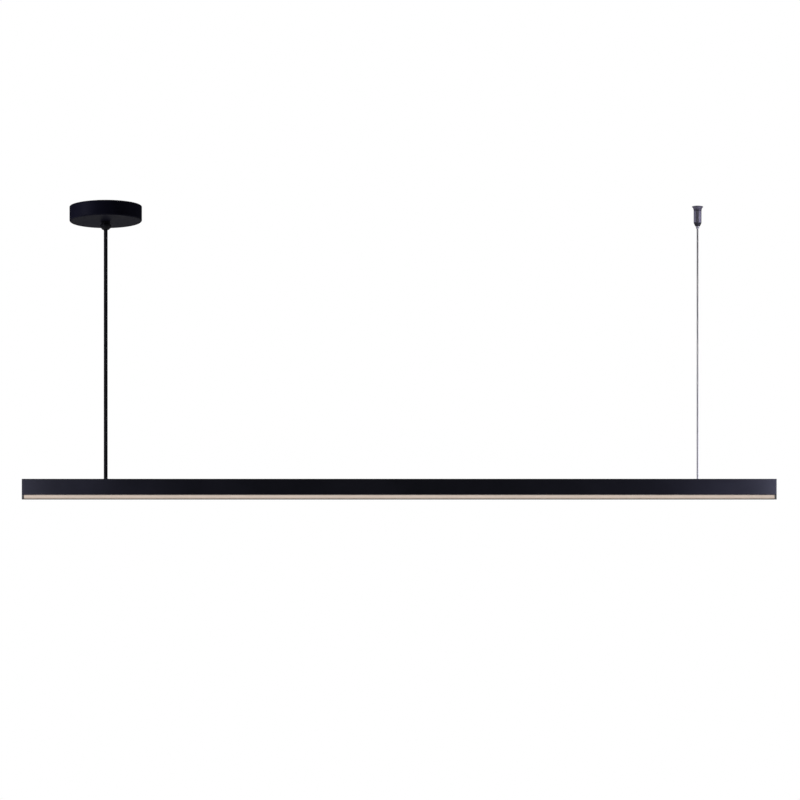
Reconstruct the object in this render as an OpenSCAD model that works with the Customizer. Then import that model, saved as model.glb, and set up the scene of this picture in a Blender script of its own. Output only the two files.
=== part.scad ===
// Linear pendant light for a pool table: a slim light bar that hangs level
// from a ceiling canopy with a power cord and from a cable gripper with a
// steel wire. Millimetres. The origin is on the ceiling at the middle of the
// canopy, X runs along the bar towards the wire, Y to the back, Z up.

/* [Light bar] */
// Length of the light bar over its end caps
bar_l = 1250; // [1150:10:1500]
// Width of the light bar, front to back
bar_w = 42; // [35:0.5:42]
// Height of the light bar
bar_h = 27; // [27:0.5:32]
// Thickness of each end cap
cap_t = 3; // [2.6:0.1:4]
// How far the lens sits above the bar's lower edge
lens_recess = 0.9; // [0.6:0.1:1.6]

/* [Hanging] */
// Distance from the ceiling down to the top of the bar
drop = 463; // [250:1:1500]
// Distance of the power cord from the bar's left end
cord_inset = 139; // [100:1:180]
// Distance of the wire from the bar's right end
wire_inset = 131; // [60:1:180]
// Diameter of the power cord
cord_d = 6.4; // [6:0.1:6.4]
// Diameter of the steel wire
wire_d = 3; // [2.4:0.1:3]

/* [Ceiling canopy] */
// Outer diameter of the canopy
canopy_d = 120; // [118:1:140]
// Height of the canopy
canopy_h = 25; // [25:1:34]
// Thickness of the canopy's wall
canopy_t = 1.2; // [0.8:0.1:1.4]
// Distance between the two outlet box screws
box_spacing = 88.9; // [82:0.1:89]

/* [Cable gripper] */
// Outer diameter of the gripper's barrel
barrel_d = 13; // [12:0.1:15]
// Diameter of the flared ceiling base
base_d = 18.4; // [17:0.1:22]

/* [Hidden] */
$fn = 64;

black = [0.05, 0.05, 0.06];
steel = [0.72, 0.72, 0.74];

// heights of the bending points of the cord and of the wire
pz = -canopy_h - 10;
bz = -drop + 0.5;
// height that the gripper's inner parts are set from
gz = -canopy_h - 11;
cord_r = cord_d / 2;
wire_r = wire_d / 2;

// the bar's box
bx0 = -cord_inset;
bx1 = bx0 + bar_l;
bt = -drop;
bb = bt - bar_h;
wire_x = bar_l - cord_inset - wire_inset;

// the bar's section, measured up from its lower edge
wall = 1.5;
roof = 1.6;
inner = bar_w / 2 - wall;
lens_t = 1.8;
lens_top = lens_recess + lens_t;
web_top = 13.6;
web_t = 1.4;
web_bot = web_top - web_t;
board_t = 1.6;
boss_y = inner - 2.4;
boss_z = bar_h - roof - 2.4;
leg_y = inner - 2.1;

// canopy
cr = canopy_d / 2;
floor_t = 1.5;
strap_hl = cr - canopy_t - 1.2;
set_z = -8;

// light boards
board_n = 3;
board_l = (bar_l - 50) / board_n;
chip_n = 25;

// driver
drv_x0 = 70;
drv_l = 260;

// ---------------------------------------------------------------- helpers

function arc(cx, cy, rx, ry, a0, a1, n = 8) =
    [for (i = [0:n]) let (a = a0 + (a1 - a0) * i / n) [cx + rx * cos(a), cy + ry * sin(a)]];

// rectangle with round corners, centred
module round_rect(w, h, r) {
    square([w - 2 * r, h], center = true);
    square([w, h - 2 * r], center = true);
    for (sx = [-1, 1], sy = [-1, 1])
        translate([sx * (w / 2 - r), sy * (h / 2 - r)]) circle(r = r, $fn = 32);
}

// slot along X, centred
module slot2d(len, r) {
    square([len - 2 * r, 2 * r], center = true);
    for (s = [-1, 1]) translate([s * (len / 2 - r), 0]) circle(r = r);
}

// a flat shape in (Y, Z) of the bar, drawn along X
module along_x(x0, len) {
    translate([x0, 0, bb]) rotate([90, 0, 90]) linear_extrude(height = len) children();
}

module bar_outline() {
    translate([0, bar_h / 2]) round_rect(bar_w, bar_h, 0.7);
}

// smooth curve through hand-set points
function cr_point(p, i, t) =
    let (n = len(p) - 1,
         a = p[max(i - 1, 0)], b = p[i], c = p[min(i + 1, n)], d = p[min(i + 2, n)])
    0.5 * ((2 * b) + (c - a) * t + (2 * a - 5 * b + 4 * c - d) * t * t
           + (3 * b - a - 3 * c + d) * t * t * t);
function smooth(p, m = 4) =
    concat([for (i = [0:len(p) - 2], k = [0:m - 1]) cr_point(p, i, k / m)], [p[len(p) - 1]]);

function unit(v) = v / norm(v);
function tangent(p, i) =
    let (n = len(p) - 1)
    unit(i == 0 ? p[1] - p[0] : i == n ? p[n] - p[n - 1]
         : unit(p[i + 1] - p[i]) + unit(p[i] - p[i - 1]));
function side0(t) = unit(cross(t, abs(t[2]) < 0.9 ? [0, 0, 1] : [1, 0, 0]));
function sides(p, i = 0, acc = []) =
    i == len(p) ? acc
    : let (t = tangent(p, i),
           u = i == 0 ? side0(t) : unit(acc[i - 1] - (acc[i - 1] * t) * t))
      sides(p, i + 1, concat(acc, [u]));

// round lead or coil swept along points
module swept(p, r, k = 8) {
    n = len(p);
    u = sides(p);
    v = [for (i = [0:n - 1]) let (t = tangent(p, i), w = cross(t, u[i]))
         for (j = [0:k - 1]) p[i] + r * (cos(360 * j / k) * u[i] + sin(360 * j / k) * w)];
    f = concat([[for (j = [0:k - 1]) j]],
               [for (i = [0:n - 2], j = [0:k - 1])
                [i * k + j, (i + 1) * k + j, (i + 1) * k + (j + 1) % k, i * k + (j + 1) % k]],
               [[for (j = [k - 1:-1:0]) (n - 1) * k + j]]);
    polyhedron(points = v, faces = f, convexity = 6);
}

// ring lug with a crimp barrel along +X; the ring's top face is at z = 0
module ring_lug(hole) {
    difference() {
        union() {
            translate([0, 0, -0.8]) cylinder(r = hole + 2.1, h = 0.8);
            translate([hole + 1, -1.4, -0.8]) cube([5.4 - 0.6, 2.8, 0.8]);
            translate([hole + 5, 0, -1.6]) rotate([0, 90, 0]) cylinder(r = 1.5, h = 5);
        }
        translate([0, 0, -2]) cylinder(r = hole, h = 3);
        translate([hole + 5.5, 0, -1.6]) rotate([0, 90, 0]) cylinder(r = 0.85, h = 6);
    }
}

// ---------------------------------------------------------------- canopy end

// strap for the outlet box, with two bent ears for the canopy's screws
module crossbar() {
    color(steel) difference() {
        union() {
            translate([0, 0, -2]) linear_extrude(height = 2) round_rect(2 * strap_hl, 20, 3);
            for (s = [-1, 1])
                translate([s * (strap_hl - 1) - 1, -8, -14]) cube([2, 16, 13]);
        }
        for (s = [-1, 1]) {
            translate([s * box_spacing / 2, 0, -3]) linear_extrude(height = 4) slot2d(11, 2.4);
            translate([s * strap_hl, 0, set_z]) rotate([0, 90, 0])
                cylinder(r = 2.02, h = 12, center = true);
        }
        translate([0, 0, -3]) cylinder(r = 7, h = 4);
        translate([-26, 0, -3]) cylinder(r = 2.42, h = 4);
        translate([23, 0, -3]) cylinder(r = 1.6, h = 4);
    }
}

// green earth screw, driven from below
module ground_screw() {
    color([0.1, 0.45, 0.15]) translate([-26, 0, 0]) difference() {
        union() {
            translate([0, 0, -2.85]) cylinder(r = 2.4, h = 2.8);
            translate([0, 0, -5.6]) cylinder(r = 4.3, h = 2.75, $fn = 6);
        }
        translate([-6, -0.5, -6.6]) cube([12, 1, 2]);
    }
}

module ground_lug() {
    color([0.75, 0.72, 0.66]) translate([-26, 0, -2.02]) ring_lug(2.5);
}

// drawn cup with a flat floor and a small radius round its lower edge
module canopy_cover() {
    color(black) difference() {
        rotate_extrude($fn = 128) polygon(concat(
            [[cr - 0.3, 0], [cr, -0.3]],
            arc(cr - 2.4, -canopy_h + 2.4, 2.4, 2.4, 0, -90, 12),
            [[5, -canopy_h], [5, -canopy_h + floor_t]],
            arc(cr - canopy_t - 1, -canopy_h + floor_t + 1, 1, 1, -90, 0, 4),
            [[cr - canopy_t, 0]]));
        for (s = [-1, 1])
            translate([s * cr, 0, set_z]) rotate([0, 90, 0])
                cylinder(r = 2.3, h = 6, center = true);
    }
}

// two flush grub screws
module canopy_set_screws() {
    color([0.1, 0.1, 0.1]) for (s = [-1, 1])
        translate([s * (cr - 0.35), 0, set_z]) rotate([0, -s * 90, 0]) difference() {
            cylinder(r = 2, h = 8);
            translate([0, 0, -1]) cylinder(r = 1.15, h = 3, $fn = 6);
        }
}

// threaded cord grip that clamps through the canopy's floor
module grip_body() {
    color(black) rotate_extrude() polygon([
        [3.35, -canopy_h + 11.5], [4.95, -canopy_h + 11.5], [4.95, -canopy_h],
        [7.4, -canopy_h], [7.4, pz + 5.2], [7.1, pz + 5], [6.4, pz + 5],
        [6.4, pz + 1.6], [5.6, pz + 1.6], [5.6, pz + 2.3], [3.35, pz + 2.3]]);
}

module grip_locknut() {
    color(steel) translate([0, 0, -canopy_h + floor_t]) difference() {
        cylinder(r = 8.5, h = 3.5, $fn = 6);
        translate([0, 0, -1]) cylinder(r = 4.97, h = 6);
    }
}

// dome nut with a round seat for the seal and a flared mouth for the cord
module grip_nut() {
    color(black) difference() {
        rotate_extrude($fn = 96) polygon(concat(
            [[0, pz + 4.9], [8.2, pz + 4.9], [9, pz + 4.1]],
            arc(0, pz + 2.6, 9, 7.78, 0, -58, 16),
            [[0, pz - 4]]));
        translate([0, 0, pz + 1.5]) cylinder(r = 6.42, h = 5);
        translate([0, 0, pz]) intersection() {
            sphere(r = 5.6);
            translate([-6, -6, -3.4]) cube([12, 12, 12]);
        }
        translate([0, 0, pz]) cylinder(r = 5.4, h = 2);
        translate([0, 0, pz - 5]) cylinder(r1 = 4.5, r2 = 4, h = 2);
    }
}

// round rubber seal: it turns in the nut, and the cord bends in its slot
module grip_seal() {
    color([0.12, 0.12, 0.12]) translate([0, 0, pz]) difference() {
        intersection() {
            sphere(r = 5.3);
            translate([-6, -6, -2.5]) cube([12, 12, 3.6]);
        }
        rotate([90, 0, 0]) linear_extrude(height = 2 * (cord_r + 0.25), center = true)
            polygon([[-cord_r - 0.25, 2], [cord_r + 0.25, 2], [cord_r + 0.25, 0],
                     [cord_r + 0.75, -3], [-cord_r - 0.75, -3], [-cord_r - 0.25, 0]]);
    }
}

// the clamped end of the cord inside the canopy
module cord_top() {
    color([0.06, 0.06, 0.06]) translate([0, 0, pz + cord_r + 0.35])
        cylinder(r = cord_r, h = -canopy_h + 13 - (pz + cord_r + 0.35));
}

ct = -canopy_h + 13;
live_route = [[0.9, -1, ct + 0.02], [1.2, -1.2, ct + 1.2], [3, -2.4, ct + 3], [7, -4.6, ct + 4],
              [12, -5.8, -8], [19.5, -6, -8]];
neutral_route = [[0.9, 1, ct + 0.02], [1.2, 1.2, ct + 1.2], [3, 2.4, ct + 3], [7, 4.6, ct + 4],
                 [12, 5.8, -8], [19.5, 6, -8]];
earth_route = [[-1.2, 0, ct + 0.02], [-1.5, 0, ct + 1.2], [-3.4, 0, ct + 3.6], [-7, 0, ct + 5.6],
               [-11, 0, -4.4], [-14.5, 0, -3.62], [-17, 0, -3.62]];
module lead_live() { color([0.08, 0.08, 0.08]) swept(smooth(live_route), 0.75); }
module lead_neutral() { color([0.92, 0.92, 0.9]) swept(smooth(neutral_route), 0.75); }
module lead_earth() { color([0.15, 0.5, 0.2]) swept(smooth(earth_route), 0.75); }

// three-pole connector that clips in the strap
module terminal_block() {
    color([0.93, 0.93, 0.9]) difference() {
        union() {
            translate([13, -9, -12]) cube([20, 18, 9.9]);
            translate([23, 0, -2.2]) cylinder(r = 1.5, h = 2);
            for (y = [-6, 0, 6]) translate([17, y - 2.2, -13]) cube([12, 4.4, 1.2]);
        }
        for (y = [-6, 0, 6]) {
            translate([12, y, -8]) rotate([0, 90, 0]) cylinder(r = 1.5, h = 22);
            for (x = [19.5, 26.5]) translate([x, y, -14]) cylinder(r = 1.45, h = 6);
        }
    }
}

module terminal_screws() {
    color([0.8, 0.74, 0.55]) for (y = [-6, 0, 6], x = [19.5, 26.5])
        translate([x, y, -12.4]) difference() {
            cylinder(r = 1.4, h = 3.4);
            translate([-2, -0.25, -1]) cube([4, 0.5, 1.6]);
        }
}

// ---------------------------------------------------------------- wire end

// flared ceiling base with a screw hole and a threaded boss
module anchor_base() {
    br = base_d / 2;
    or = barrel_d / 2;
    color(steel) translate([wire_x, 0, 0]) rotate_extrude() polygon(concat(
        [[2.4, 0], [br, 0], [br, -0.8]],
        arc(br, -8, br - or, 7, 90, 180, 20),
        [[4.5, -8], [4.5, -12], [3.5, -12], [3.5, -6.6], [2.4, -6.6]]));
}

// housing with the tapered ball seat
module anchor_barrel() {
    or = barrel_d / 2;
    color(steel) translate([wire_x, 0, 0]) rotate_extrude() polygon([
        [4.52, -8.05], [or - 0.2, -8.05], [or, -8.3], [or, pz + 7.6], [or - 0.3, pz + 7],
        [4.1, pz + 2.2], [3.7, pz + 2], [2.85, pz + 2], [2.85, gz + 9.4], [3.4, gz + 9.4],
        [4.25, gz + 15.4], [4.52, gz + 15.4]]);
}

// release button: nozzle, ball cage and spring collar in one piece
module gripper_plunger() {
    color([0.6, 0.6, 0.62]) translate([wire_x, 0, 0]) difference() {
        rotate_extrude() polygon([
            [0, pz - 2], [2.45, pz - 2], [2.7, pz - 1.6], [2.7, gz + 9.55], [3.25, gz + 9.55],
            [3.25, gz + 15.7], [4.4, gz + 15.7], [4.4, gz + 17], [0, gz + 17]]);
        translate([0, 0, pz - 0.4]) cylinder(r = 1.7, h = 20);
        translate([0, 0, pz - 2.4]) cylinder(r1 = 2.28, r2 = 1.7, h = 2.1);
        for (a = [0, 120, 240])
            translate([0, 0, gz + 12.4]) rotate([0, 90, a]) cylinder(r = 1.2, h = 4);
    }
}

module gripper_balls() {
    color([0.85, 0.85, 0.87]) for (a = [0, 120, 240])
        translate([wire_x, 0, gz + 12.4]) rotate([0, 0, a]) translate([wire_r + 1.12, 0, 0])
            sphere(r = 1.08);
}

coil_turns = 5;
coil_z0 = gz + 17.42;
coil_z1 = -12.42;
module gripper_spring() {
    color([0.8, 0.8, 0.82]) translate([wire_x, 0, 0])
        swept([for (i = [0:coil_turns * 14]) let (f = i / (coil_turns * 14), a = 360 * coil_turns * f)
               [3.75 * cos(a), 3.75 * sin(a), coil_z0 + (coil_z1 - coil_z0) * f]], 0.38);
}

// the gripped end of the wire, inside the housing
module wire_top() {
    color([0.75, 0.75, 0.77]) translate([wire_x, 0, pz + wire_r + 0.25])
        cylinder(r = wire_r, h = -15 - (pz + wire_r + 0.25));
}

// ---------------------------------------------------------------- hanging

// round at both ends, where it bends
module power_cord() {
    color([0.06, 0.06, 0.06]) union() {
        translate([0, 0, bz]) cylinder(r = cord_r, h = pz - bz);
        translate([0, 0, pz]) sphere(r = cord_r);
        translate([0, 0, bz]) sphere(r = cord_r);
    }
}

module suspension_wire() {
    color([0.75, 0.75, 0.77]) translate([wire_x, 0, 0]) union() {
        translate([0, 0, bz - 2.34]) cylinder(r = wire_r, h = pz - bz + 2.34);
        translate([0, 0, pz]) sphere(r = wire_r);
    }
}

module wire_ball() {
    color([0.7, 0.7, 0.72]) translate([wire_x, 0, bz]) difference() {
        sphere(r = 2.8);
        translate([0, 0, -4]) cylinder(r = wire_r + 0.01, h = 8);
    }
}

// ---------------------------------------------------------------- light bar

// The bar's body is four strips joined along their edges: two sides, the roof
// and the web, with the driver's space above the web and the lens below it.

// side strip with a ledge over the lens; s is -1 at the front and 1 at the back
module side_strip(s) {
    color(black) along_x(bx0 + cap_t, bar_l - 2 * cap_t) union() {
        intersection() {
            bar_outline();
            translate([s > 0 ? inner : -inner - wall - 1, -1]) square([wall + 1, bar_h + 2]);
        }
        translate([s * (inner - 0.5) - 0.6, lens_top + 0.2]) square([1.2, 1]);
    }
}
module bar_side_front() { side_strip(-1); }
module bar_side_back() { side_strip(1); }

// roof strip, with the holes for the cord's bush and the wire's stud
module bar_roof() {
    color(black) difference() {
        along_x(bx0 + cap_t, bar_l - 2 * cap_t)
            translate([-inner, bar_h - roof]) square([2 * inner, roof]);
        translate([0, 0, bt - 5]) cylinder(r = 5.05, h = 8);
        translate([wire_x, 0, bt - 5]) cylinder(r = 4.05, h = 8);
    }
}

// web that carries the driver above and the light boards below
module bar_web() {
    color(black) difference() {
        along_x(bx0 + cap_t, bar_l - 2 * cap_t)
            translate([-inner, web_bot]) square([2 * inner, web_t]);
        for (x = [drv_x0 - 4, drv_x0 + drv_l + 4])
            translate([x, 0, bb + web_bot - 1]) cylinder(r = 1.47, h = 4);
        translate([-28, 0, bb + web_bot - 1]) cylinder(r = 1.97, h = 4);
        translate([drv_x0 + drv_l + 24, 12, bb + web_bot - 1]) cylinder(r = 3, h = 4);
    }
}

// corner blocks under the roof that take the end cap screws
block_l = 14;
module cap_blocks() {
    color(black) for (x = [bx0 + cap_t, bx1 - cap_t - block_l], s = [-1, 1])
        along_x(x, block_l) difference() {
            translate([s * boss_y - 2.4, boss_z - 2.4]) square(4.8);
            translate([s * boss_y, boss_z]) circle(r = 1.3);
        }
}

module end_cap(x0, out) {
    color(black) difference() {
        union() {
            along_x(x0, cap_t) bar_outline();
            translate([out > 0 ? x0 - 2.5 : x0 + cap_t - 0.5, -8.5, bb + web_top + 1.5])
                cube([3, 17, 8]);
        }
        for (s = [-1, 1]) translate([out > 0 ? x0 + cap_t : x0, s * boss_y, bb + boss_z])
            rotate([0, out > 0 ? -90 : 90, 0]) {
                translate([0, 0, -1]) cylinder(r = 1.6, h = 8);
                translate([0, 0, -0.01]) cylinder(r1 = 3.02, r2 = 1.6, h = 1.5);
            }
    }
}
module end_cap_left() { end_cap(bx0, -1); }
module end_cap_right() { end_cap(bx1 - cap_t, 1); }

// four countersunk screws
module end_cap_screws() {
    color([0.1, 0.1, 0.1]) for (e = [-1, 1], s = [-1, 1])
        translate([e > 0 ? bx1 : bx0, s * boss_y, bb + boss_z]) rotate([0, e > 0 ? -90 : 90, 0])
            difference() {
                union() {
                    translate([0, 0, 0.05]) cylinder(r1 = 2.9, r2 = 1.28, h = 1.6);
                    cylinder(r = 1.28, h = 13);
                }
                translate([0, 0, -0.5]) cylinder(r = 0.95, h = 1.6, $fn = 6);
            }
}

// opal lens
module diffuser() {
    color([0.95, 0.9, 0.82]) along_x(bx0 + cap_t + 0.5, bar_l - 2 * cap_t - 1)
        translate([-inner + 0.25, lens_recess]) square([2 * inner - 0.5, lens_t]);
}

// two legs on the lens that the clips hold
module diffuser_legs() {
    color([0.95, 0.9, 0.82]) for (s = [-1, 1]) along_x(bx0 + cap_t + 0.5, bar_l - 2 * cap_t - 1)
        translate([s * leg_y - 0.5, lens_top]) square([1, 3.8]);
}

// spring clips under the web, one pair of prongs round each leg
module diffuser_clips() {
    color(steel) for (f = [0.08, 0.36, 0.64, 0.92], s = [-1, 1])
        along_x(bx0 + f * bar_l - 7, 14) translate([s * leg_y, 0]) difference() {
            translate([-1.2, 4.8]) square([2.4, web_bot - 4.8]);
            translate([-0.62, 4]) square([1.24, web_bot - 4.7]);
        }
}

// boards under the web
module led_boards() {
    color([0.93, 0.93, 0.93]) for (i = [0:board_n - 1])
        translate([bx0 + 25 + i * board_l + 0.5, -9, bb + web_bot - board_t])
            cube([board_l - 1, 18, board_t]);
}

// light emitters in a row along the boards
module led_chips() {
    color([0.95, 0.85, 0.4]) for (i = [0:board_n - 1], k = [0:chip_n - 1])
        translate([bx0 + 25 + (i + (k + 0.5) / chip_n) * board_l - 1.75, -1.4,
                   bb + web_bot - board_t - 0.8]) cube([3.5, 2.8, 0.8]);
}

// slim driver with a screw tab at each end
module led_driver() {
    z0 = bb + web_top + 0.02;
    color([0.9, 0.9, 0.88]) difference() {
        union() {
            translate([drv_x0, -10, z0]) cube([drv_l, 20, 9.8]);
            translate([drv_x0 - 8, -7, z0]) cube([drv_l + 16, 14, 1.5]);
        }
        for (x = [drv_x0 - 4, drv_x0 + drv_l + 4])
            translate([x, 0, z0 - 1]) cylinder(r = 1.6, h = 4);
        for (s = [-1, 1]) {
            translate([drv_x0 - 1, s * 4.5, z0 + 5.4]) rotate([0, 90, 0]) cylinder(r = 1.1, h = 5);
            translate([drv_x0 + drv_l - 4, s * 4.5, z0 + 5.4]) rotate([0, 90, 0])
                cylinder(r = 1.1, h = 5);
        }
    }
}

module driver_screws() {
    color(steel) for (x = [drv_x0 - 4, drv_x0 + drv_l + 4])
        translate([x, 0, bb + web_bot + 0.1]) difference() {
            union() {
                cylinder(r = 1.45, h = 3.2);
                translate([0, 0, web_t + 1.45]) cylinder(r = 2.8, h = 1.7);
            }
            translate([-3, -0.35, web_t + 2.4]) cube([6, 0.7, 2]);
        }
}

// bush through the bar's roof, with a flared mouth for the cord
module gland_body() {
    color(black) rotate_extrude() polygon([
        [3.4, bt - 6.6], [5, bt - 6.6], [5, bt], [7.5, bt], [7.5, bt + 2.4], [6.9, bt + 3],
        [4, bt + 3], [3.4, bt + 0.9]]);
}

module gland_nut() {
    color(steel) translate([0, 0, bt - roof - 3.4]) difference() {
        cylinder(r = 8, h = 3.4, $fn = 6);
        translate([0, 0, -1]) cylinder(r = 5.02, h = 6);
    }
}

// crimped ring that carries the bar's weight on the cord
module cord_stop() {
    color([0.75, 0.72, 0.66]) translate([0, 0, bt - 8.6]) difference() {
        cylinder(r = 4.3, h = 1.98);
        translate([0, 0, -1]) cylinder(r = cord_r + 0.01, h = 4);
    }
}

module cord_bottom() {
    color([0.06, 0.06, 0.06]) translate([0, 0, bt - 8.8])
        cylinder(r = cord_r, h = bz - cord_r - 0.35 - (bt - 8.8));
}

// stud through the bar's roof with a round seat for the wire's ball
module wire_socket() {
    color(black) translate([wire_x, 0, 0]) difference() {
        rotate_extrude() polygon([
            [0, bt - 6], [4, bt - 6], [4, bt], [5.6, bt], [5.6, bt + 2.2], [4.8, bt + 3],
            [0, bt + 3]]);
        translate([0, 0, bz]) sphere(r = 2.95);
        translate([0, 0, bt - 7]) cylinder(r = 2.95, h = bz - bt + 7);
        translate([0, 0, bz]) cylinder(r1 = 1.75, r2 = 2.35, h = 3);
    }
}

module socket_nut() {
    color(steel) translate([wire_x, 0, bt - roof - 3.2]) difference() {
        cylinder(r = 6.6, h = 3.2, $fn = 6);
        translate([0, 0, -1]) cylinder(r = 4.02, h = 6);
    }
}

// cores inside the bar; heights from the bar's lower edge
cb = bt - 8.8 - bb;
dz = web_top + 5.42;
in_route = [[0.6, 1.2, cb - 0.02], [0.8, 1.3, cb - 0.9], [2.6, 1.8, cb - 2.4], [7, 2.6, cb - 3],
            [20, 3.2, cb - 3], [40, 4, cb - 2.4], [54, 4.5, dz], [62, 4.5, dz], [72, 4.5, dz]];
bar_earth_route = [[-1.2, 0, cb - 0.02], [-1.4, 0, cb - 0.9], [-3.4, 0, cb - 2.3], [-8, 0, cb - 2.8],
                   [-13, 0, web_top + 1.63], [-16, 0, web_top + 1.63], [-19.5, 0, web_top + 1.63]];
ox = drv_x0 + drv_l;
out_route = [[-2, 4.5, dz], [3, 4.5, dz], [8, 5, dz], [15, 8, dz - 1], [21.4, 11.4, web_top + 2],
             [22.6, 12, web_bot], [24, 11.6, web_bot - 2.2], [27, 9.6, web_bot - 2.7],
             [31, 6.5, web_bot - 2.5], [33, 5, web_bot - 2.5]];
out_route2 = [[-2, -4.5, dz], [3, -4.5, dz], [8, -4, dz], [16, 4, dz - 1.6], [22.6, 10.8, web_top + 2],
              [25.6, 12.2, web_bot], [28, 12, web_bot - 2.2], [32, 10, web_bot - 2.7],
              [36, 6.5, web_bot - 2.5], [38, 5, web_bot - 2.5]];
function lift(p, dx = 0, sy = 1) = [for (q = p) [q[0] + dx, q[1] * sy, q[2] + bb]];
module bar_lead_live() { color([0.08, 0.08, 0.08]) swept(smooth(lift(in_route)), 0.7); }
module bar_lead_neutral() { color([0.92, 0.92, 0.9]) swept(smooth(lift(in_route, 0, -1)), 0.7); }
module bar_lead_earth() { color([0.15, 0.5, 0.2]) swept(smooth(lift(bar_earth_route)), 0.75); }
module led_lead_plus() { color([0.7, 0.1, 0.08]) swept(smooth(lift(out_route, ox)), 0.65); }
module led_lead_minus() { color([0.08, 0.08, 0.08]) swept(smooth(lift(out_route2, ox)), 0.65); }

module earth_lug() {
    color([0.75, 0.72, 0.66]) translate([-28, 0, bb + web_top + 0.02]) rotate([180, 0, 0])
        ring_lug(2.05);
}

module earth_screw() {
    color([0.8, 0.74, 0.55]) translate([-28, 0, bb + web_bot + 0.1]) difference() {
        union() {
            cylinder(r = 1.95, h = 3);
            translate([0, 0, web_t + 0.75]) cylinder(r = 3.6, h = 2.2);
        }
        translate([-4, -0.4, web_t + 2.1]) cube([8, 0.8, 2]);
    }
}

crossbar();
ground_screw();
ground_lug();
canopy_cover();
canopy_set_screws();
grip_body();
grip_locknut();
grip_nut();
grip_seal();
cord_top();
lead_live();
lead_neutral();
lead_earth();
terminal_block();
terminal_screws();
anchor_base();
anchor_barrel();
gripper_plunger();
gripper_balls();
gripper_spring();
wire_top();
power_cord();
suspension_wire();
wire_ball();
bar_side_front();
bar_side_back();
bar_roof();
bar_web();
cap_blocks();
end_cap_left();
end_cap_right();
end_cap_screws();
diffuser();
diffuser_legs();
diffuser_clips();
led_boards();
led_chips();
led_driver();
driver_screws();
gland_body();
gland_nut();
cord_stop();
cord_bottom();
wire_socket();
socket_nut();
bar_lead_live();
bar_lead_neutral();
bar_lead_earth();
earth_lug();
earth_screw();
led_lead_plus();
led_lead_minus();
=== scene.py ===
import math

import bpy
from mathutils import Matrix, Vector


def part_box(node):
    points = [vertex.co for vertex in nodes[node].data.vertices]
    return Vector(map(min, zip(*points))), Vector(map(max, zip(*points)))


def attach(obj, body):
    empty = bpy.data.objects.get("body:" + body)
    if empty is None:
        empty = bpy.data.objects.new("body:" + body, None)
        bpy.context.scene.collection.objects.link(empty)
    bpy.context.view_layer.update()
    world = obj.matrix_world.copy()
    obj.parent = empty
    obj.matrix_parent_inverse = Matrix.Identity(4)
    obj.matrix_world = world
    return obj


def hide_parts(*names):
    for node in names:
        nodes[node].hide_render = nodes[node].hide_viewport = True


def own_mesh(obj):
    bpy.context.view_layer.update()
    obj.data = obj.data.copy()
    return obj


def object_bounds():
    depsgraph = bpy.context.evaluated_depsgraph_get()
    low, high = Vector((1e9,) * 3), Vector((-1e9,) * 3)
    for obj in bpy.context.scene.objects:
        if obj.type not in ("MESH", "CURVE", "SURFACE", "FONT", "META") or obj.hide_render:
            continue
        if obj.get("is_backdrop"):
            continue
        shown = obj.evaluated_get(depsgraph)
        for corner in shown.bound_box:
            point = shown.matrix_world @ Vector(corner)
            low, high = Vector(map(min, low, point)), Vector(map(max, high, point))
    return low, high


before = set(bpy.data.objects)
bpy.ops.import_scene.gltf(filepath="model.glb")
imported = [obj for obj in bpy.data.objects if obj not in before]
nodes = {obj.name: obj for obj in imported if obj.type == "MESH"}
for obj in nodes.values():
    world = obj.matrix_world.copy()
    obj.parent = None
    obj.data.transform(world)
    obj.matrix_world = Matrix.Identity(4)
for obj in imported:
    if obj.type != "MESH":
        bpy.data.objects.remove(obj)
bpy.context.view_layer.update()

scene = bpy.context.scene
MM = 0.001

# ------------------------------------------------------------------ camera
# A long view from the front and a little below, so the pale lens shows.
ELEV = math.radians(11.0)
AIM = Vector((0.4873, 0.0, -0.3261))
cam_data = bpy.data.cameras.new("main_camera")
cam_data.type = "ORTHO"
cam_data.ortho_scale = 1.32464
cam_data.clip_start, cam_data.clip_end = 0.05, 30.0
cam = bpy.data.objects.new("main_camera", cam_data)
scene.collection.objects.link(cam)
cam.rotation_euler = (math.radians(90.0) + ELEV, 0.0, 0.0)
cam.location = AIM - 3.0 * Vector((0.0, math.cos(ELEV), math.sin(ELEV)))
scene.camera = cam


# ------------------------------------------------------------------ mesh tools
def mesh_object(name, verts, faces, smooth=True):
    mesh = bpy.data.meshes.new(name)
    mesh.from_pydata([tuple(v) for v in verts], [], faces)
    mesh.validate()
    mesh.update()
    if smooth:
        mesh.polygons.foreach_set("use_smooth", [True] * len(mesh.polygons))
    obj = bpy.data.objects.new(name, mesh)
    scene.collection.objects.link(obj)
    return obj


def add_box(verts, faces, low, high):
    k = len(verts)
    for z in (low[2], high[2]):
        verts += [(low[0], low[1], z), (high[0], low[1], z), (high[0], high[1], z), (low[0], high[1], z)]
    faces += [(k, k + 3, k + 2, k + 1), (k + 4, k + 5, k + 6, k + 7), (k, k + 1, k + 5, k + 4),
              (k + 1, k + 2, k + 6, k + 5), (k + 2, k + 3, k + 7, k + 6), (k + 3, k, k + 4, k + 7)]


def sweep(verts, faces, path, radius, sides, hint=(0.0, 1.0, 0.0)):
    """A closed round tube along a path, added to a list of points and faces."""
    k = len(verts)
    n = len(path)
    side = Vector(hint)
    for i, p in enumerate(path):
        t = (path[min(i + 1, n - 1)] - path[max(i - 1, 0)]).normalized()
        side = (side - t * side.dot(t)).normalized()
        other = t.cross(side)
        for j in range(sides):
            a = 2 * math.pi * j / sides
            verts.append(p + radius * (math.cos(a) * side + math.sin(a) * other))
    for i in range(n - 1):
        for j in range(sides):
            q = (j + 1) % sides
            faces.append((k + i * sides + j, k + i * sides + q, k + (i + 1) * sides + q, k + (i + 1) * sides + j))
    faces.append(tuple(k + j for j in reversed(range(sides))))
    faces.append(tuple(k + (n - 1) * sides + j for j in range(sides)))


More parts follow.
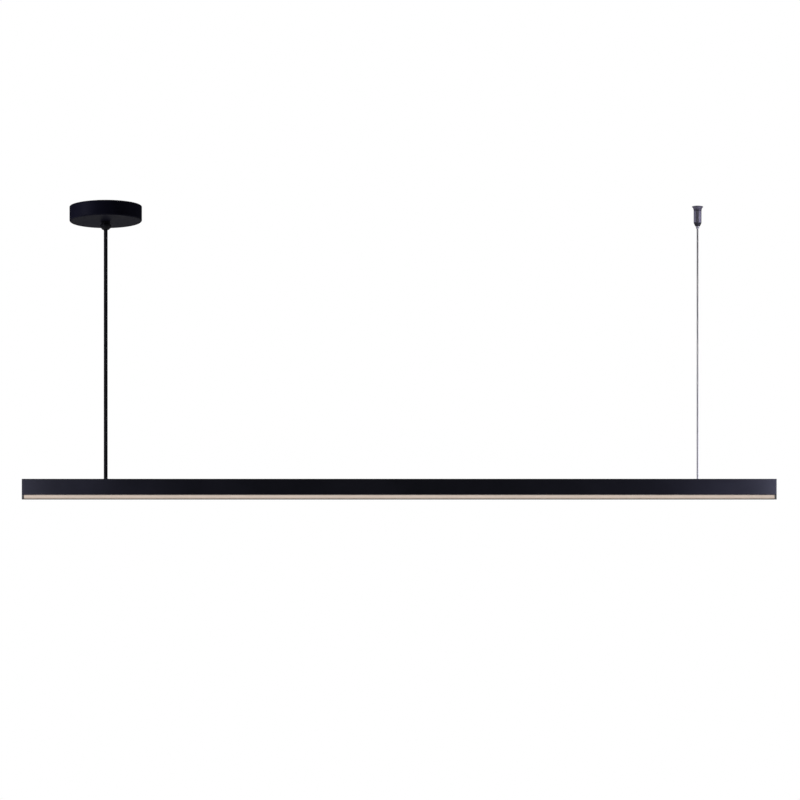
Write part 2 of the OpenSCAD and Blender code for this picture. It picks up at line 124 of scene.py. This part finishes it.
# ------------------------------------------------------------------ cord and wire
# The power cord hangs straight from the bending point in the cord grip to the
# bending point in the bar's bush. The three cores inside show as a very slight
# twisted swell of the jacket.
CORD_TOP, CORD_END, CORD_R = -35.0 * MM, -462.5 * MM, 3.2 * MM
rings = []
for i in range(7):
    a = math.pi / 2 * (1 - i / 7)
    rings.append((CORD_TOP + CORD_R * math.sin(a), max(0.02, math.cos(a))))
count = 284
for i in range(count + 1):
    rings.append((CORD_TOP + (CORD_END - CORD_TOP) * i / count, 1.0))
for i in range(1, 8):
    a = math.pi / 2 * i / 7
    rings.append((CORD_END - CORD_R * math.sin(a), max(0.02, math.cos(a))))
verts, faces, sides = [], [], 36
for z, share in rings:
    for j in range(sides):
        a = 2 * math.pi * j / sides
        swell = 1.0 - 0.0012 * (1 - math.cos(3 * (a - 2 * math.pi * z / 0.052)))
        verts.append((CORD_R * share * swell * math.cos(a), CORD_R * share * swell * math.sin(a), z))
for i in range(len(rings) - 1):
    for j in range(sides):
        q = (j + 1) % sides
        faces.append((i * sides + j, (i + 1) * sides + j, (i + 1) * sides + q, i * sides + q))
faces.append(tuple(range(sides)))
faces.append(tuple((len(rings) - 1) * sides + j for j in reversed(range(sides))))
cord = mesh_object("cord_jacket", verts, faces)
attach(cord, "cord")
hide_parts("power_cord")

# The wire is a steel strand: twelve fine wires laid round a core.
WIRE_X, WIRE_TOP, WIRE_END, WIRE_R = 980.0 * MM, -34.4 * MM, -464.8 * MM, 1.5 * MM
LAY_LENGTH = 26.0 * MM
strand = WIRE_R / 5.0
steps = 480
verts, faces = [], []
middle = [Vector((WIRE_X, 0.0, WIRE_TOP + (WIRE_END - WIRE_TOP) * i / steps)) for i in range(steps + 1)]
sweep(verts, faces, middle[::20], 3 * strand, 12)
for s in range(12):
    path = []
    for p in middle:
        a = 2 * math.pi * (s / 12.0 + (WIRE_TOP - p.z) / LAY_LENGTH)
        path.append(p + 4 * strand * Vector((math.cos(a), math.sin(a), 0.0)))
    sweep(verts, faces, path, strand * 0.99, 8)
wire = mesh_object("wire_rope", verts, faces)
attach(wire, "wire")
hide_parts("suspension_wire")

# ------------------------------------------------------------------ gripper spring
# Round wire with closed, flat ends. On the real gripper it shortens as the release button is pressed; here it is
# drawn at one length.
COIL_LOW, COIL_HIGH, COIL_R, COIL_W = -18.98 * MM, -12.04 * MM, 3.75 * MM, 0.36 * MM
path = []
turns, per = 6.0, 40
for i in range(int(turns * per) + 1):
    f = i / per
    if f < 0.9:
        rise = 0.06 * f
    elif f > turns - 0.9:
        rise = 1.0 - 0.06 * (turns - f)
    else:
        rise = 0.054 + (1 - 0.108) * (f - 0.9) / (turns - 1.8)
    z = COIL_LOW + COIL_W + (COIL_HIGH - COIL_LOW - 2 * COIL_W) * rise
    a = 2 * math.pi * f
    path.append(Vector((WIRE_X + COIL_R * math.cos(a), COIL_R * math.sin(a), z)))
verts, faces = [], []
sweep(verts, faces, path, COIL_W, 12, hint=(0.0, 0.0, 1.0))
spring = mesh_object("gripper_coil", verts, faces)
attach(spring, "ceiling_mount")
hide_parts("gripper_spring")
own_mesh(spring)

# ------------------------------------------------------------------ light board parts
# Solder pads, copper strips and resistors on the underside of the light boards.
low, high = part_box("led_boards")
face_z = low.z
board_l = (high.x - low.x + 1.0 * MM) / 3.0
verts, faces = [], []
pad_v, pad_f = [], []
for b in range(3):
    x0 = low.x + b * board_l
    for y in (-6.6 * MM, 6.6 * MM):
        add_box(pad_v, pad_f, (x0 + 5 * MM, y - 0.9 * MM, face_z - 0.04 * MM),
                (x0 + board_l - 6 * MM, y + 0.9 * MM, face_z + 0.2 * MM))
    for k in range(25):
        x = x0 - 0.5 * MM + (k + 0.5) / 25 * board_l
        for s in (-1, 1):
            add_box(pad_v, pad_f, (x + s * 2.6 * MM - 0.75 * MM, -1.2 * MM, face_z - 0.06 * MM),
                    (x + s * 2.6 * MM + 0.75 * MM, 1.2 * MM, face_z + 0.2 * MM))
        if k % 5 == 2:
            cx = x + 0.5 / 25 * board_l
            add_box(verts, faces, (cx - 1.0 * MM, 3.2 * MM, face_z - 0.5 * MM),
                    (cx + 1.0 * MM, 4.4 * MM, face_z + 0.1 * MM))
            for s in (-1, 1):
                add_box(pad_v, pad_f, (cx + s * 1.2 * MM - 0.35 * MM, 3.1 * MM, face_z - 0.3 * MM),
                        (cx + s * 1.2 * MM + 0.35 * MM, 4.5 * MM, face_z + 0.1 * MM))
resistors = mesh_object("board_resistors", verts, faces, smooth=False)
pads = mesh_object("board_pads", pad_v, pad_f, smooth=False)
for piece in (resistors, pads):
    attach(piece, "light_bar")


# ------------------------------------------------------------------ materials
def start(name):
    mat = bpy.data.materials.new(name)
    mat.use_nodes = True
    nt = mat.node_tree
    nt.nodes.clear()
    out = nt.nodes.new("ShaderNodeOutputMaterial")
    bsdf = nt.nodes.new("ShaderNodeBsdfPrincipled")
    nt.links.new(bsdf.outputs["BSDF"], out.inputs["Surface"])
    return mat, nt, bsdf


def noise(nt, scale, detail=3.0, rough=0.55, stretch=None):
    coord = nt.nodes.new("ShaderNodeTexCoord")
    tex = nt.nodes.new("ShaderNodeTexNoise")
    tex.inputs["Scale"].default_value = scale
    tex.inputs["Detail"].default_value = detail
    tex.inputs["Roughness"].default_value = rough
    if stretch is None:
        nt.links.new(coord.outputs["Object"], tex.inputs["Vector"])
    else:
        place = nt.nodes.new("ShaderNodeMapping")
        place.inputs["Scale"].default_value = stretch
        nt.links.new(coord.outputs["Object"], place.inputs["Vector"])
        nt.links.new(place.outputs["Vector"], tex.inputs["Vector"])
    return tex.outputs["Fac"]


def ramp(nt, fac, stops):
    node = nt.nodes.new("ShaderNodeValToRGB")
    el = node.color_ramp.elements
    while len(el) < len(stops):
        el.new(0.5)
    for e, (pos, col) in zip(el, stops):
        e.position = pos
        e.color = (col[0], col[1], col[2], 1.0)
    nt.links.new(fac, node.inputs["Fac"])
    return node.outputs["Color"]


def spread(nt, fac, lo, hi):
    node = nt.nodes.new("ShaderNodeMapRange")
    node.inputs["From Min"].default_value = 0.3
    node.inputs["From Max"].default_value = 0.7
    node.inputs["To Min"].default_value = lo
    node.inputs["To Max"].default_value = hi
    nt.links.new(fac, node.inputs["Value"])
    return node.outputs["Result"]


def bump(nt, height, strength, distance, below=None):
    node = nt.nodes.new("ShaderNodeBump")
    node.inputs["Strength"].default_value = strength
    node.inputs["Distance"].default_value = distance
    nt.links.new(height, node.inputs["Height"])
    if below is not None:
        nt.links.new(below, node.inputs["Normal"])
    return node.outputs["Normal"]


def shade(col, k):
    return tuple(c * k for c in col)


def surface(name, col, change=0.15, rough=(0.4, 0.5), metal=0.0, spec=0.5, blotch=40.0, grain=900.0,
            grain_strength=0.15, grain_depth=0.00003, stretch=None, line_strength=0.0, line_depth=0.00002):
    """A finish with uneven colour and sheen, a fine grain, and drawn lines if asked for."""
    mat, nt, bsdf = start(name)
    wide = noise(nt, blotch, 4.0)
    fine = noise(nt, grain, 2.0)
    nt.links.new(ramp(nt, wide, [(0.3, shade(col, 1 - change)), (0.5, col), (0.7, shade(col, 1 + change))]),
                 bsdf.inputs["Base Color"])
    nt.links.new(spread(nt, wide, rough[0], rough[1]), bsdf.inputs["Roughness"])
    bsdf.inputs["Metallic"].default_value = metal
    bsdf.inputs["Specular IOR Level"].default_value = spec
    normal = bump(nt, fine, grain_strength, grain_depth)
    if stretch is not None:
        lines = noise(nt, 1.0, 2.0, 0.5, stretch)
        normal = bump(nt, lines, line_strength, line_depth, normal)
    nt.links.new(normal, bsdf.inputs["Normal"])
    return mat, nt, bsdf


def finish_of(*args, **kw):
    return surface(*args, **kw)[0]


BLACK = (0.0060, 0.0060, 0.0108)
mats = {
    "bar": finish_of("bar_powder_coat", BLACK, 0.2, (0.42, 0.52), spec=0.26, blotch=9.0, grain=1500.0,
                     grain_strength=0.22, grain_depth=0.00004, stretch=(1.5, 700.0, 700.0),
                     line_strength=0.06, line_depth=0.00002),
    "cap": finish_of("end_cap_powder_coat", shade(BLACK, 1.1), 0.2, (0.44, 0.54), spec=0.26, blotch=60.0,
                     grain=1500.0, grain_strength=0.25, grain_depth=0.00004),
    # the canopy's black is a tenth darker than the bar's: painted shade over the whole canopy, aimed at its
    # underside
    "canopy": finish_of("canopy_powder_coat", shade(BLACK, 0.9), 0.2, (0.42, 0.52), spec=0.0115, blotch=26.0,
                        grain=1300.0, grain_strength=0.2, grain_depth=0.00004),
    "nylon": finish_of("black_nylon_grip", (0.0040, 0.0040, 0.0046), 0.25, (0.46, 0.58), spec=0.08, blotch=120.0,
                       grain=2600.0, grain_strength=0.2, grain_depth=0.00002),
    "jacket": finish_of("cord_jacket_pvc", (0.0075, 0.0075, 0.0085), 0.2, (0.55, 0.66), spec=0.04, blotch=160.0,
                        grain=3200.0, grain_strength=0.12, grain_depth=0.00001),
    "zinc": finish_of("zinc_plated_steel", (0.34, 0.345, 0.35), 0.24, (0.46, 0.6), metal=1.0, blotch=220.0,
                      grain=2500.0, grain_strength=0.1, grain_depth=0.00002),
    "nickel_nozzle": finish_of("bright_nickel", (0.66, 0.65, 0.70), 0.08, (0.5, 0.6), metal=1.0, blotch=180.0,
                               grain=2600.0, grain_strength=0.05, grain_depth=0.00001, stretch=(60.0, 60.0, 5200.0),
                               line_strength=0.12, line_depth=0.00001),
    # the flare's nickel is set far darker and bluer than the plunger's: painted shade over the whole flare
    "nickel_base": finish_of("satin_nickel_base", (0.16, 0.151, 0.198), 0.1, (0.5, 0.6), metal=1.0, blotch=180.0,
                             grain=2600.0, grain_strength=0.05, grain_depth=0.00001, stretch=(60.0, 60.0, 5200.0),
                             line_strength=0.12, line_depth=0.00001),
    "spring": finish_of("spring_steel_bright", (0.52, 0.52, 0.54), 0.1, (0.25, 0.36), metal=1.0, blotch=300.0,
                        grain=2800.0, grain_strength=0.08, grain_depth=0.00001),
    "ball": finish_of("ball_steel_polished", (0.66, 0.66, 0.68), 0.05, (0.12, 0.2), metal=1.0, blotch=400.0,
                      grain=3000.0, grain_strength=0.04, grain_depth=0.00001),
    "wire": finish_of("wire_steel_bright", (0.53, 0.52, 0.512), 0.12, (0.56, 0.66), metal=1.0, blotch=500.0,
                      grain=3000.0, grain_strength=0.08, grain_depth=0.00001),
    "screw_black": finish_of("screw_black_oxide", (0.02, 0.02, 0.024), 0.3, (0.3, 0.42), metal=0.6, blotch=300.0,
                             grain=2600.0, grain_strength=0.12, grain_depth=0.00002),
    "screw_green": finish_of("screw_green_lacquer", (0.03, 0.20, 0.06), 0.25, (0.26, 0.4), metal=0.5, blotch=300.0,
                             grain=2600.0, grain_strength=0.12, grain_depth=0.00002),
    "tinned": finish_of("tinned_copper", (0.66, 0.63, 0.58), 0.14, (0.26, 0.42), metal=1.0, blotch=300.0,
                        grain=2600.0, grain_strength=0.12, grain_depth=0.00002),
    "brass": finish_of("brass", (0.62, 0.44, 0.17), 0.15, (0.24, 0.38), metal=1.0, blotch=300.0,
                       grain=2600.0, grain_strength=0.1, grain_depth=0.00002),
    "rubber": finish_of("seal_rubber", (0.012, 0.012, 0.012), 0.3, (0.68, 0.82), spec=0.3, blotch=200.0,
                        grain=2200.0, grain_strength=0.3, grain_depth=0.00003),
    "lead_black": finish_of("lead_black_pvc", (0.013, 0.013, 0.014), 0.25, (0.36, 0.48), blotch=260.0,
                            grain=2600.0, grain_strength=0.12, grain_depth=0.00002),
    "lead_white": finish_of("lead_white_pvc", (0.78, 0.77, 0.74), 0.05, (0.36, 0.48), blotch=260.0,
                            grain=2600.0, grain_strength=0.12, grain_depth=0.00002),
    "lead_green": finish_of("lead_green_pvc", (0.03, 0.22, 0.06), 0.2, (0.36, 0.48), blotch=260.0,
                            grain=2600.0, grain_strength=0.12, grain_depth=0.00002),
    "lead_red": finish_of("lead_red_pvc", (0.44, 0.025, 0.02), 0.2, (0.36, 0.48), blotch=260.0,
                          grain=2600.0, grain_strength=0.12, grain_depth=0.00002),
    "block": finish_of("terminal_block_nylon", (0.76, 0.75, 0.72), 0.05, (0.45, 0.58), blotch=160.0,
                       grain=2000.0, grain_strength=0.18, grain_depth=0.00003),
    "board": finish_of("board_solder_mask", (0.82, 0.83, 0.82), 0.04, (0.3, 0.42), blotch=60.0,
                       grain=1800.0, grain_strength=0.1, grain_depth=0.00002),
    "driver": finish_of("driver_case_plastic", (0.72, 0.72, 0.70), 0.06, (0.5, 0.62), blotch=90.0,
                        grain=1400.0, grain_strength=0.3, grain_depth=0.00004),
    "resistor": finish_of("resistor_body", (0.018, 0.018, 0.018), 0.3, (0.4, 0.55), blotch=500.0,
                          grain=3000.0, grain_strength=0.15, grain_depth=0.00002),
}

# opal lens: milky, with a faint satin texture drawn along its length; painted shade
# makes it deeper in tone near its two long edges, standing in for the channel walls' shade where no white board lies
# behind
mats["lens"], nt, lens_bsdf = surface("lens_opal", (0.793, 0.65, 0.544), 0.03, (0.42, 0.5), spec=0.3, blotch=14.0,
                                      grain=1700.0, grain_strength=0.12, grain_depth=0.00003,
                                      stretch=(2.0, 420.0, 420.0), line_strength=0.1, line_depth=0.00003)
coord = nt.nodes.new("ShaderNodeTexCoord")
split = nt.nodes.new("ShaderNodeSeparateXYZ")
nt.links.new(coord.outputs["Object"], split.inputs["Vector"])
off = nt.nodes.new("ShaderNodeMath")
off.operation = "ABSOLUTE"
nt.links.new(split.outputs["Y"], off.inputs[0])
# painted shade: the lens colour is multiplied darker as it nears its long edges
painted_shade_mask = nt.nodes.new("ShaderNodeMapRange")
painted_shade_mask.interpolation_type = "SMOOTHSTEP"
painted_shade_mask.inputs["From Min"].default_value = 5.0 * MM
painted_shade_mask.inputs["From Max"].default_value = 17.0 * MM
nt.links.new(off.outputs["Value"], painted_shade_mask.inputs["Value"])
painted_shade_mix = nt.nodes.new("ShaderNodeMix")
painted_shade_mix.data_type = "RGBA"
painted_shade_mix.blend_type = "MULTIPLY"
milky = lens_bsdf.inputs["Base Color"].links[0].from_socket
nt.links.new(painted_shade_mask.outputs["Result"], painted_shade_mix.inputs[0])
nt.links.new(milky, painted_shade_mix.inputs[6])
painted_shade_mix.inputs[7].default_value = (0.62, 0.60, 0.58, 1.0)
nt.links.new(painted_shade_mix.outputs[2], lens_bsdf.inputs["Base Color"])

# gripper barrel: the same satin nickel, with painted shade darkening its tapered tip
mats["barrel"], nt, tip_bsdf = surface("satin_nickel_painted_shade_tip", (0.362, 0.348, 0.428), 0.08, (0.46, 0.56), metal=1.0,
                                       blotch=180.0, grain=2600.0, grain_strength=0.05, grain_depth=0.00001,
                                       stretch=(60.0, 60.0, 5200.0), line_strength=0.12, line_depth=0.00001)
coord = nt.nodes.new("ShaderNodeTexCoord")
split = nt.nodes.new("ShaderNodeSeparateXYZ")
nt.links.new(coord.outputs["Object"], split.inputs["Vector"])
# painted shade: below the barrel's shoulder the nickel colour is multiplied dark
painted_shade_mask = nt.nodes.new("ShaderNodeMapRange")
painted_shade_mask.interpolation_type = "SMOOTHSTEP"
painted_shade_mask.inputs["From Min"].default_value = -26.9 * MM
painted_shade_mask.inputs["From Max"].default_value = -27.9 * MM
nt.links.new(split.outputs["Z"], painted_shade_mask.inputs["Value"])
painted_shade_mix = nt.nodes.new("ShaderNodeMix")
painted_shade_mix.data_type = "RGBA"
painted_shade_mix.blend_type = "MULTIPLY"
plain = tip_bsdf.inputs["Base Color"].links[0].from_socket
nt.links.new(painted_shade_mask.outputs["Result"], painted_shade_mix.inputs[0])
nt.links.new(plain, painted_shade_mix.inputs[6])
painted_shade_mix.inputs[7].default_value = (0.12, 0.12, 0.13, 1.0)
nt.links.new(painted_shade_mix.outputs[2], tip_bsdf.inputs["Base Color"])

# light emitters: a yellow phosphor field in a white frame
mat, nt, bsdf = start("phosphor_chips")
wide = noise(nt, 700.0, 3.0)
nt.links.new(ramp(nt, wide, [(0.3, (0.80, 0.60, 0.10)), (0.5, (0.86, 0.67, 0.15)), (0.7, (0.90, 0.74, 0.22))]),
             bsdf.inputs["Base Color"])
nt.links.new(spread(nt, wide, 0.28, 0.42), bsdf.inputs["Roughness"])
mats["phosphor"] = mat

finish_by_node = {
    "bar": ["bar_side_front", "bar_side_back", "bar_roof", "bar_web", "cap_blocks", "gland_body", "wire_socket"],
    "cap": ["end_cap_left", "end_cap_right"],
    "canopy": ["canopy_cover"],
    "nylon": ["grip_body", "grip_nut"],
    "jacket": ["power_cord", "cord_top", "cord_bottom"],
    "zinc": ["crossbar", "grip_locknut", "gland_nut", "socket_nut", "driver_screws"],
    "nickel_nozzle": ["gripper_plunger"],
    "nickel_base": ["anchor_base"],
    "barrel": ["anchor_barrel"],
    "spring": ["gripper_spring", "diffuser_clips"],
    "ball": ["gripper_balls"],
    "wire": ["suspension_wire", "wire_top", "wire_ball"],
    "screw_black": ["canopy_set_screws", "end_cap_screws"],
    "screw_green": ["ground_screw"],
    "tinned": ["ground_lug", "earth_lug", "cord_stop"],
    "brass": ["earth_screw", "terminal_screws"],
    "rubber": ["grip_seal"],
    "lead_black": ["lead_live", "bar_lead_live", "led_lead_minus"],
    "lead_white": ["lead_neutral", "bar_lead_neutral"],
    "lead_green": ["lead_earth", "bar_lead_earth"],
    "lead_red": ["led_lead_plus"],
    "block": ["terminal_block"],
    "lens": ["diffuser", "diffuser_legs"],
    "board": ["led_boards"],
    "phosphor": ["led_chips"],
    "driver": ["led_driver"],
}


def dress(obj, mat):
    obj.data.materials.clear()
    obj.data.materials.append(mat)


for key, names in finish_by_node.items():
    for n in names:
        dress(nodes[n], mats[key])
dress(cord, mats["jacket"])
dress(wire, mats["wire"])
dress(spring, mats["spring"])
dress(resistors, mats["resistor"])
dress(pads, mats["tinned"])

# ------------------------------------------------------------------ floor
verts, faces = [], []
grid, reach = 36, 9.0
for i in range(grid + 1):
    for j in range(grid + 1):
        verts.append((0.487 - reach + 2 * reach * i / grid, -reach + 2 * reach * j / grid, -2.4))
for i in range(grid):
    for j in range(grid):
        k = i * (grid + 1) + j
        faces.append((k, k + grid + 1, k + grid + 2, k + 1))
floor = mesh_object("pale_floor", verts, faces)
floor_paint = finish_of("pale_floor_paint", (0.82, 0.82, 0.82), 0.015, (0.6, 0.7), spec=0.2, blotch=1.5, grain=60.0,
                        grain_strength=0.02, grain_depth=0.001)
# far from the lamp the floor fades into the white studio
nt = floor_paint.node_tree
coat = next(n for n in nt.nodes if n.type == "BSDF_PRINCIPLED")
where = nt.nodes.new("ShaderNodeTexCoord")
away = nt.nodes.new("ShaderNodeVectorMath")
away.operation = "DISTANCE"
away.inputs[1].default_value = (0.487, 0.0, -2.4)
fade = nt.nodes.new("ShaderNodeMapRange")
fade.interpolation_type = "SMOOTHSTEP"
fade.inputs["From Min"].default_value = 5.0
fade.inputs["From Max"].default_value = 8.8
nt.links.new(where.outputs["Object"], away.inputs[0])
nt.links.new(away.outputs["Value"], fade.inputs["Value"])
nt.links.new(fade.outputs["Result"], coat.inputs["Emission Strength"])
coat.inputs["Emission Color"].default_value = (1.0, 1.0, 1.0, 1.0)
dress(floor, floor_paint)
floor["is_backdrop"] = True

# ------------------------------------------------------------------ light
world = bpy.data.worlds.new("studio")
scene.world = world
world.use_nodes = True
nt = world.node_tree
nt.nodes.clear()
out = nt.nodes.new("ShaderNodeOutputWorld")
mix = nt.nodes.new("ShaderNodeMixShader")
path = nt.nodes.new("ShaderNodeLightPath")
soft = nt.nodes.new("ShaderNodeBackground")
soft.inputs["Color"].default_value = (0.96, 0.94, 1.0, 1.0)
soft.inputs["Strength"].default_value = 0.03
white = nt.nodes.new("ShaderNodeBackground")
white.inputs["Color"].default_value = (1.0, 1.0, 1.0, 1.0)
white.inputs["Strength"].default_value = 1.0
nt.links.new(path.outputs["Is Camera Ray"], mix.inputs["Fac"])
nt.links.new(soft.outputs["Background"], mix.inputs[1])
nt.links.new(white.outputs["Background"], mix.inputs[2])
nt.links.new(mix.outputs["Shader"], out.inputs["Surface"])


def area(name, place, at, width, height, watts, colour=(1.0, 1.0, 1.0)):
    data = bpy.data.lights.new(name, "AREA")
    data.shape = "RECTANGLE"
    data.size, data.size_y = width, height
    data.energy = watts
    data.color = colour
    obj = bpy.data.objects.new(name, data)
    scene.collection.objects.link(obj)
    obj.location = place
    obj.rotation_euler = (Vector(at) - Vector(place)).to_track_quat("-Z", "Y").to_euler()
    obj.visible_camera = False
    return obj


COOL = (0.78, 0.79, 1.0)
area("left_bar_glow", (-0.26, -0.26, -0.4765), (-0.12, 0.0, -0.4765), 0.12, 0.06, 1.0, COOL)
area("right_bar_glow", (1.22, -0.20, -0.4765), (1.10, 0.0, -0.4765), 0.10, 0.06, 1.5, COOL)
area("canopy_key", (-0.42, -0.20, 0.05), (-0.04, 0.0, -0.01), 0.16, 0.16, 1.9, COOL)
area("gripper_key", (2.15, -0.28, 0.05), (0.98, 0.0, -0.02), 0.7, 0.7, 3.4, (0.84, 0.82, 1.0))
wire_key = area("wire_key", (1.35, -0.55, -0.2), (0.98, 0.0, -0.2), 0.1, 0.06, 0.05, (1.0, 0.98, 0.98))
wire_key.data.spread = math.radians(32.0)
area("under_fill", (0.487, 0.9, -2.0), (0.487, 0.0, -0.4), 2.6, 1.0, 3.0, (1.0, 0.95, 0.90))
area("overhead", (0.487, 3.2, 3.2), (0.487, 2.6, -2.4), 6.0, 4.5, 190.0)
area("floor_wash", (0.487, 0.0, -1.0), (0.487, 0.0, -2.4), 14.0, 14.0, 350.0)

scene.view_settings.view_transform = "Standard"
scene.view_settings.look = "None"
scene.view_settings.exposure = 0.0
scene.view_settings.gamma = 1.0

# ------------------------------------------------------------------ object bounds
low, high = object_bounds()
